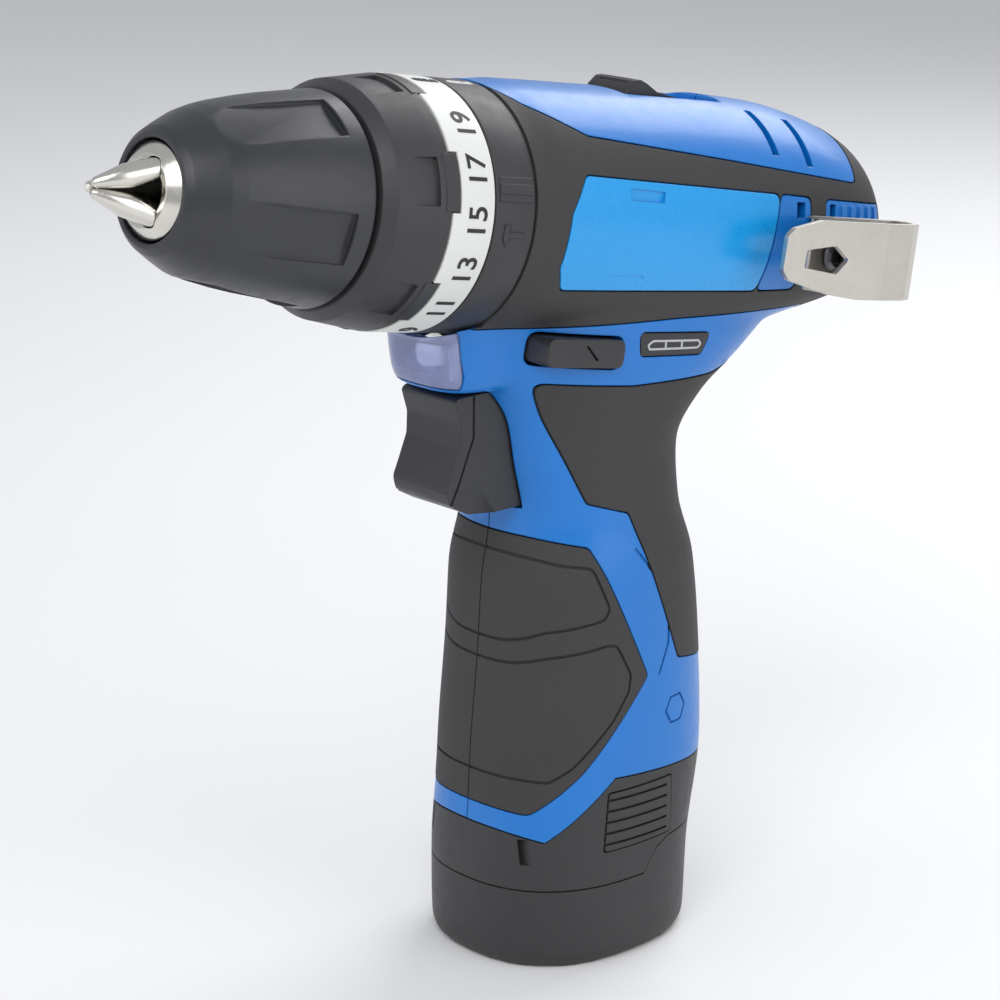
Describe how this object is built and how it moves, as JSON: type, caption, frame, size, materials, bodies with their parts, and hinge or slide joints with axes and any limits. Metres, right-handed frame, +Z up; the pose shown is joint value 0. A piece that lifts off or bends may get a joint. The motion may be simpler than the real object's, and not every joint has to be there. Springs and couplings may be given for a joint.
{
  "type": "cordless drill",
  "caption": "Compact pistol-grip cordless combi drill with a keyless chuck, torque and mode collars, belt clip and slide-in battery it stands on.",
  "frame": {"origin": "centre of the battery's flat base, on the surface that the drill stands on", "axes": "+X forwards towards the chuck, +Y to the drill's left, +Z up; the chuck axis rises 9.75 degrees towards the front"},
  "size_m": [0.1913, 0.0585, 0.1835],
  "materials": {
    "blue": "satin moulded, blue",
    "light_blue": "satin moulded, light blue",
    "rubber": "soft overmould, fine matt grain",
    "black": "moulded, fine spark grain",
    "white": "moulded, satin",
    "steel": "turned and ground",
    "dark_steel": "oiled, dark",
    "lens": "clear moulded lamp cover",
    "copper": "wound wire and laminations",
    "carbon": "pressed carbon",
    "cell": "shrink wrap"
  },
  "bodies": {
    "housing": {"left_housing": "blue", "right_housing": "blue", "left_side_panel": "light_blue", "right_side_panel": "light_blue", "left_overmould": "rubber", "right_overmould": "rubber", "left_front_grip": "rubber", "right_front_grip": "rubber", "left_rear_grip": "rubber", "right_rear_grip": "rubber", "gearbox_housing": "dark_steel", "spindle_bearing": "steel", "fixed_ring_gear": "dark_steel", "clutch_spring": "dark_steel", "motor_can": "steel", "motor_cap": "black", "upper_brush": "carbon", "lower_brush": "carbon", "switch_body": "black", "lamp_lens": "lens", "battery_gauge": "black", "belt_clip": "steel", "clip_screw": "dark_steel", "contact_block": "black", "housing_screw_1": "dark_steel", "housing_screw_2": "dark_steel", "housing_screw_3": "dark_steel"},
    "spindle": {"spindle": "steel", "chuck_body": "steel", "chuck_screw": "dark_steel"},
    "stage_carrier": {"stage_carrier": "steel"},
    "rotor": {"motor_rotor": "copper", "motor_fan": "black", "motor_pinion": "steel"},
    "sleeve": {"chuck_sleeve": "black", "scroll_nut": "dark_steel"},
    "torque_collar": {"torque_ring": "black", "number_band": "white"},
    "mode_collar": {"mode_ring": "black"},
    "shift_ring": {"shift_ring_gear": "dark_steel"},
    "trigger": {"trigger": "black", "trigger_spring": "dark_steel"},
    "direction_button": {"direction_button": "black"},
    "speed_slider": {"speed_slider": "black"},
    "battery": {"battery_shell": "black", "battery_cap": "black", "cell_1": "cell", "cell_2": "cell", "cell_3": "cell"},
    "left_latch": {"left_latch": "black"},
    "right_latch": {"right_latch": "black"},
    "planet_1": {"planet_gear_1": "steel"},
    "planet_2": {"planet_gear_2": "steel"},
    "planet_3": {"planet_gear_3": "steel"},
    "planet_4": {"planet_gear_4": "steel"},
    "planet_5": {"planet_gear_5": "steel"},
    "planet_6": {"planet_gear_6": "steel"},
    "jaw_1": {"jaw_1": "steel"},
    "jaw_2": {"jaw_2": "steel"},
    "jaw_3": {"jaw_3": "steel"}
  },
  "joints": [
    {"name": "spindle_turn", "type": "hinge", "parent": "housing", "child": "spindle", "pos_m": [0.0384, 0, 0.1577], "axis": [0.9856, 0, 0.1693], "continuous": true},
    {"name": "carrier_turn", "type": "hinge", "parent": "housing", "child": "stage_carrier", "pos_m": [0.01573, 0, 0.1538], "axis": [0.9856, 0, 0.1693], "continuous": true},
    {"name": "rotor_turn", "type": "hinge", "parent": "housing", "child": "rotor", "pos_m": [-0.02073, 0, 0.14754], "axis": [0.9856, 0, 0.1693], "continuous": true},
    {"name": "sleeve_turn", "type": "hinge", "parent": "spindle", "child": "sleeve", "pos_m": [0.08078, 0, 0.16498], "axis": [0.9856, 0, 0.1693], "range_deg": [0, 2160]},
    {"name": "torque_turn", "type": "hinge", "parent": "housing", "child": "torque_collar", "pos_m": [0.05023, 0, 0.15973], "axis": [0.9856, 0, 0.1693], "range_deg": [0, 247.5]},
    {"name": "mode_turn", "type": "hinge", "parent": "housing", "child": "mode_collar", "pos_m": [0.03347, 0, 0.15685], "axis": [0.9856, 0, 0.1693], "range_deg": [0, 60]},
    {"name": "trigger_pull", "type": "slide", "parent": "housing", "child": "trigger", "axis": [-1, 0, 0], "range_m": [0, 0.006], "stiffness_N_per_m": 400, "springref_m": -0.004, "deforming": ["trigger_spring"]},
    {"name": "direction_push", "type": "slide", "parent": "housing", "child": "direction_button", "axis": [0, 1, 0], "range_m": [-0.0025, 0.0025]},
    {"name": "speed_shift", "type": "slide", "parent": "housing", "child": "speed_slider", "axis": [-0.9856, 0, -0.1693], "range_m": [0, 0.009]},
    {"name": "ring_shift", "type": "slide", "parent": "housing", "child": "shift_ring", "axis": [-0.9856, 0, -0.1693], "range_m": [0, 0.00405]},
    {"name": "battery_pull", "type": "slide", "parent": "housing", "child": "battery", "axis": [0, 0, -1], "range_m": [0, 0.07]},
    {"name": "left_latch_press", "type": "slide", "parent": "battery", "child": "left_latch", "axis": [0, -1, 0], "range_m": [0, 0.0013], "stiffness_N_per_m": 900, "springref_m": -0.0015},
    {"name": "right_latch_press", "type": "slide", "parent": "battery", "child": "right_latch", "axis": [0, 1, 0], "range_m": [0, 0.0013], "stiffness_N_per_m": 900, "springref_m": -0.0015},
    {"name": "planet_1_turn", "type": "hinge", "parent": "stage_carrier", "child": "planet_1", "pos_m": [0.01134, 0, 0.14392], "axis": [0.9856, 0, 0.1693], "continuous": true},
    {"name": "planet_2_turn", "type": "hinge", "parent": "stage_carrier", "child": "planet_2", "pos_m": [0.00906, 0.00779, 0.15722], "axis": [0.9856, 0, 0.1693], "continuous": true},
    {"name": "planet_3_turn", "type": "hinge", "parent": "stage_carrier", "child": "planet_3", "pos_m": [0.00906, -0.00779, 0.15722], "axis": [0.9856, 0, 0.1693], "continuous": true},
    {"name": "planet_4_turn", "type": "hinge", "parent": "spindle", "child": "planet_4", "pos_m": [0.02356, 0, 0.14602], "axis": [0.9856, 0, 0.1693], "continuous": true},
    {"name": "planet_5_turn", "type": "hinge", "parent": "spindle", "child": "planet_5", "pos_m": [0.02128, 0.00779, 0.15932], "axis": [0.9856, 0, 0.1693], "continuous": true},
    {"name": "planet_6_turn", "type": "hinge", "parent": "spindle", "child": "planet_6", "pos_m": [0.02128, -0.00779, 0.15932], "axis": [0.9856, 0, 0.1693], "continuous": true},
    {"name": "jaw_1_slide", "type": "slide", "parent": "spindle", "child": "jaw_1", "axis": [-0.9425, -0.2924, -0.1619], "range_m": [0, 0.017]},
    {"name": "jaw_2_slide", "type": "slide", "parent": "spindle", "child": "jaw_2", "axis": [-0.8996, 0.1462, -0.4115], "range_m": [0, 0.017]},
    {"name": "jaw_3_slide", "type": "slide", "parent": "spindle", "child": "jaw_3", "axis": [-0.9854, 0.1462, 0.0876], "range_m": [0, 0.017]}
  ],
  "couplings": [
    {"joint": "carrier_turn", "follows": "spindle_turn", "ratio": 4},
    {"joint": "rotor_turn", "follows": "spindle_turn", "ratio": 16},
    {"joint": "planet_1_turn", "follows": "spindle_turn", "ratio": -12},
    {"joint": "planet_2_turn", "follows": "spindle_turn", "ratio": -12},
    {"joint": "planet_3_turn", "follows": "spindle_turn", "ratio": -12},
    {"joint": "planet_4_turn", "follows": "spindle_turn", "ratio": -3},
    {"joint": "planet_5_turn", "follows": "spindle_turn", "ratio": -3},
    {"joint": "planet_6_turn", "follows": "spindle_turn", "ratio": -3},
    {"joint": "jaw_1_slide", "follows": "sleeve_turn", "m_per_rad": 0.00045094},
    {"joint": "jaw_2_slide", "follows": "sleeve_turn", "m_per_rad": 0.00045094},
    {"joint": "jaw_3_slide", "follows": "sleeve_turn", "m_per_rad": 0.00045094},
    {"joint": "ring_shift", "follows": "speed_shift", "ratio": 0.45}
  ]
}
